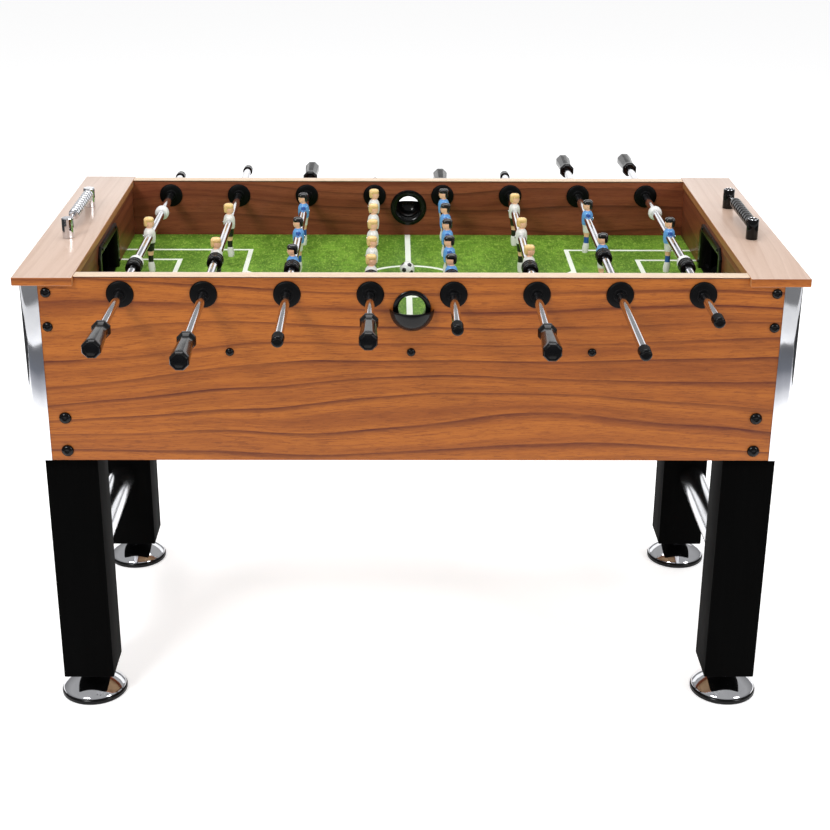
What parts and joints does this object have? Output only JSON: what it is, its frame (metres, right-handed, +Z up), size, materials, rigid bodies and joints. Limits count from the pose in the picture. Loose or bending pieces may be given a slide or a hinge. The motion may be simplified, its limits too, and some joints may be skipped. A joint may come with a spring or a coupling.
{
  "type": "foosball table",
  "caption": "Foosball table: laminated cabinet on square legs with levelling feet, and sliding, spinning player rods over a printed pitch.",
  "frame": {"origin": "on the floor under the middle of the cabinet", "axes": "+X to the player's right along the pitch, -Y the front side, +Z up"},
  "size_m": [1.372, 1.359, 0.9033],
  "materials": {
    "cherry_laminate": "satin laminate with printed cherry grain",
    "inner_laminate": "dark satin laminate",
    "cap_laminate": "gloss laminate, paler",
    "edge_banding": "cream edge banding",
    "raw_board": "bare fibre board",
    "printed_turf": "printed mowed-grass surface",
    "black_plastic": "moulded black",
    "grip_black": "moulded black grip",
    "black_laminate": "black laminated board",
    "chrome": "bright chrome",
    "rod_steel": "plated hollow steel",
    "bolt_black": "black domed bolt",
    "rubber": "soft black",
    "silver_bead": "silvered plastic",
    "player_white": "white moulded team",
    "player_blue": "blue moulded team",
    "ball_white": "white ball with black patches"
  },
  "bodies": {
    "table": {"front_panel": "cherry_laminate", "rear_panel": "cherry_laminate", "left_end_panel": "cherry_laminate", "right_end_panel": "cherry_laminate", "left_goal_wall": "inner_laminate", "right_goal_wall": "inner_laminate", "left_top_cap": "cap_laminate", "right_top_cap": "cap_laminate", "left_field_brace": "raw_board", "right_field_brace": "raw_board", "playing_field": "printed_turf", "left_goal": "black_plastic", "right_goal": "black_plastic", "left_ball_return": "black_plastic", "right_ball_return": "black_plastic", "front_ball_entry": "black_plastic", "rear_ball_entry": "black_plastic", "front_left_corner_guard": "chrome", "front_right_corner_guard": "chrome", "rear_left_corner_guard": "chrome", "rear_right_corner_guard": "chrome", "front_left_leg": "black_laminate", "front_right_leg": "black_laminate", "rear_left_leg": "black_laminate", "rear_right_leg": "black_laminate", "left_leg_tube": "chrome", "right_leg_tube": "chrome", "left_scorer_rail": "chrome", "right_scorer_rail": "black_plastic"},
    "rod_1_carriage": {"rod_1_bumper": "rubber"},
    "rod_1_spinner": {"rod_1": "rod_steel", "rod_1_handle": "grip_black"},
    "rod_2_carriage": {"rod_2_bumper": "rubber"},
    "rod_2_spinner": {"rod_2": "rod_steel", "rod_2_handle": "grip_black"},
    "rod_3_carriage": {"rod_3_bumper": "rubber"},
    "rod_3_spinner": {"rod_3": "rod_steel", "rod_3_handle": "grip_black"},
    "rod_4_carriage": {"rod_4_bumper": "rubber"},
    "rod_4_spinner": {"rod_4": "rod_steel", "rod_4_handle": "grip_black"},
    "rod_5_carriage": {"rod_5_bumper": "rubber"},
    "rod_5_spinner": {"rod_5": "rod_steel", "rod_5_handle": "grip_black"},
    "rod_6_carriage": {"rod_6_bumper": "rubber"},
    "rod_6_spinner": {"rod_6": "rod_steel", "rod_6_handle": "grip_black"},
    "rod_7_carriage": {"rod_7_bumper": "rubber"},
    "rod_7_spinner": {"rod_7": "rod_steel", "rod_7_handle": "grip_black"},
    "rod_8_carriage": {"rod_8_bumper": "rubber"},
    "rod_8_spinner": {"rod_8": "rod_steel", "rod_8_handle": "grip_black"},
    "front_left_foot": {"front_left_leveler": "chrome"},
    "front_right_foot": {"front_right_leveler": "chrome"},
    "rear_left_foot": {"rear_left_leveler": "chrome"},
    "rear_right_foot": {"rear_right_leveler": "chrome"},
    "left_counter": {"left_scorer_beads": "silver_bead"},
    "right_counter": {"right_scorer_beads": "black_plastic"},
    "ball": {"game_ball": "ball_white"}
  },
  "joints": [
    {"name": "rod_1_slide", "type": "slide", "parent": "table", "child": "rod_1_carriage", "axis": [0, 1, 0], "range_m": [-0.117, 0.125]},
    {"name": "rod_1_spin", "type": "hinge", "parent": "rod_1_carriage", "child": "rod_1_spinner", "pos_m": [-0.5033, 0, 0.8325], "axis": [0, 1, 0], "continuous": true},
    {"name": "rod_2_slide", "type": "slide", "parent": "table", "child": "rod_2_carriage", "axis": [0, 1, 0], "range_m": [-0.15, 0.196]},
    {"name": "rod_2_spin", "type": "hinge", "parent": "rod_2_carriage", "child": "rod_2_spinner", "pos_m": [-0.3595, 0, 0.8325], "axis": [0, 1, 0], "continuous": true},
    {"name": "rod_3_slide", "type": "slide", "parent": "table", "child": "rod_3_carriage", "axis": [0, 1, 0], "range_m": [-0.105, 0.111]},
    {"name": "rod_3_spin", "type": "hinge", "parent": "rod_3_carriage", "child": "rod_3_spinner", "pos_m": [-0.2157, 0, 0.8325], "axis": [0, 1, 0], "continuous": true},
    {"name": "rod_4_slide", "type": "slide", "parent": "table", "child": "rod_4_carriage", "axis": [0, 1, 0], "range_m": [-0.043, 0.077]},
    {"name": "rod_4_spin", "type": "hinge", "parent": "rod_4_carriage", "child": "rod_4_spinner", "pos_m": [-0.0719, 0, 0.8325], "axis": [0, 1, 0], "continuous": true},
    {"name": "rod_5_slide", "type": "slide", "parent": "table", "child": "rod_5_carriage", "axis": [0, 1, 0], "range_m": [-0.047, 0.073]},
    {"name": "rod_5_spin", "type": "hinge", "parent": "rod_5_carriage", "child": "rod_5_spinner", "pos_m": [0.0719, 0, 0.8325], "axis": [0, 1, 0], "continuous": true},
    {"name": "rod_6_slide", "type": "slide", "parent": "table", "child": "rod_6_carriage", "axis": [0, 1, 0], "range_m": [-0.105, 0.111]},
    {"name": "rod_6_spin", "type": "hinge", "parent": "rod_6_carriage", "child": "rod_6_spinner", "pos_m": [0.2157, 0, 0.8325], "axis": [0, 1, 0], "continuous": true},
    {"name": "rod_7_slide", "type": "slide", "parent": "table", "child": "rod_7_carriage", "axis": [0, 1, 0], "range_m": [-0.184, 0.162]},
    {"name": "rod_7_spin", "type": "hinge", "parent": "rod_7_carriage", "child": "rod_7_spinner", "pos_m": [0.3595, 0, 0.8325], "axis": [0, 1, 0], "continuous": true},
    {"name": "rod_8_slide", "type": "slide", "parent": "table", "child": "rod_8_carriage", "axis": [0, 1, 0], "range_m": [-0.122, 0.118]},
    {"name": "rod_8_spin", "type": "hinge", "parent": "rod_8_carriage", "child": "rod_8_spinner", "pos_m": [0.5033, 0, 0.8325], "axis": [0, 1, 0], "continuous": true},
    {"name": "front_left_leveler_screw", "type": "slide", "parent": "table", "child": "front_left_foot", "axis": [0, 0, -1], "range_m": [0, 0.015]},
    {"name": "front_right_leveler_screw", "type": "slide", "parent": "table", "child": "front_right_foot", "axis": [0, 0, -1], "range_m": [0, 0.015]},
    {"name": "rear_left_leveler_screw", "type": "slide", "parent": "table", "child": "rear_left_foot", "axis": [0, 0, -1], "range_m": [0, 0.015]},
    {"name": "rear_right_leveler_screw", "type": "slide", "parent": "table", "child": "rear_right_foot", "axis": [0, 0, -1], "range_m": [0, 0.015]},
    {"name": "left_counter_slide", "type": "slide", "parent": "table", "child": "left_counter", "axis": [0, 1, 0], "range_m": [-0.0509, 0]},
    {"name": "right_counter_slide", "type": "slide", "parent": "table", "child": "right_counter", "axis": [0, 1, 0], "range_m": [0, 0.0509]},
    {"name": "ball_roll", "type": "slide", "parent": "table", "child": "ball", "axis": [0, 1, 0], "range_m": [-0.31, 0.28]}
  ]
}
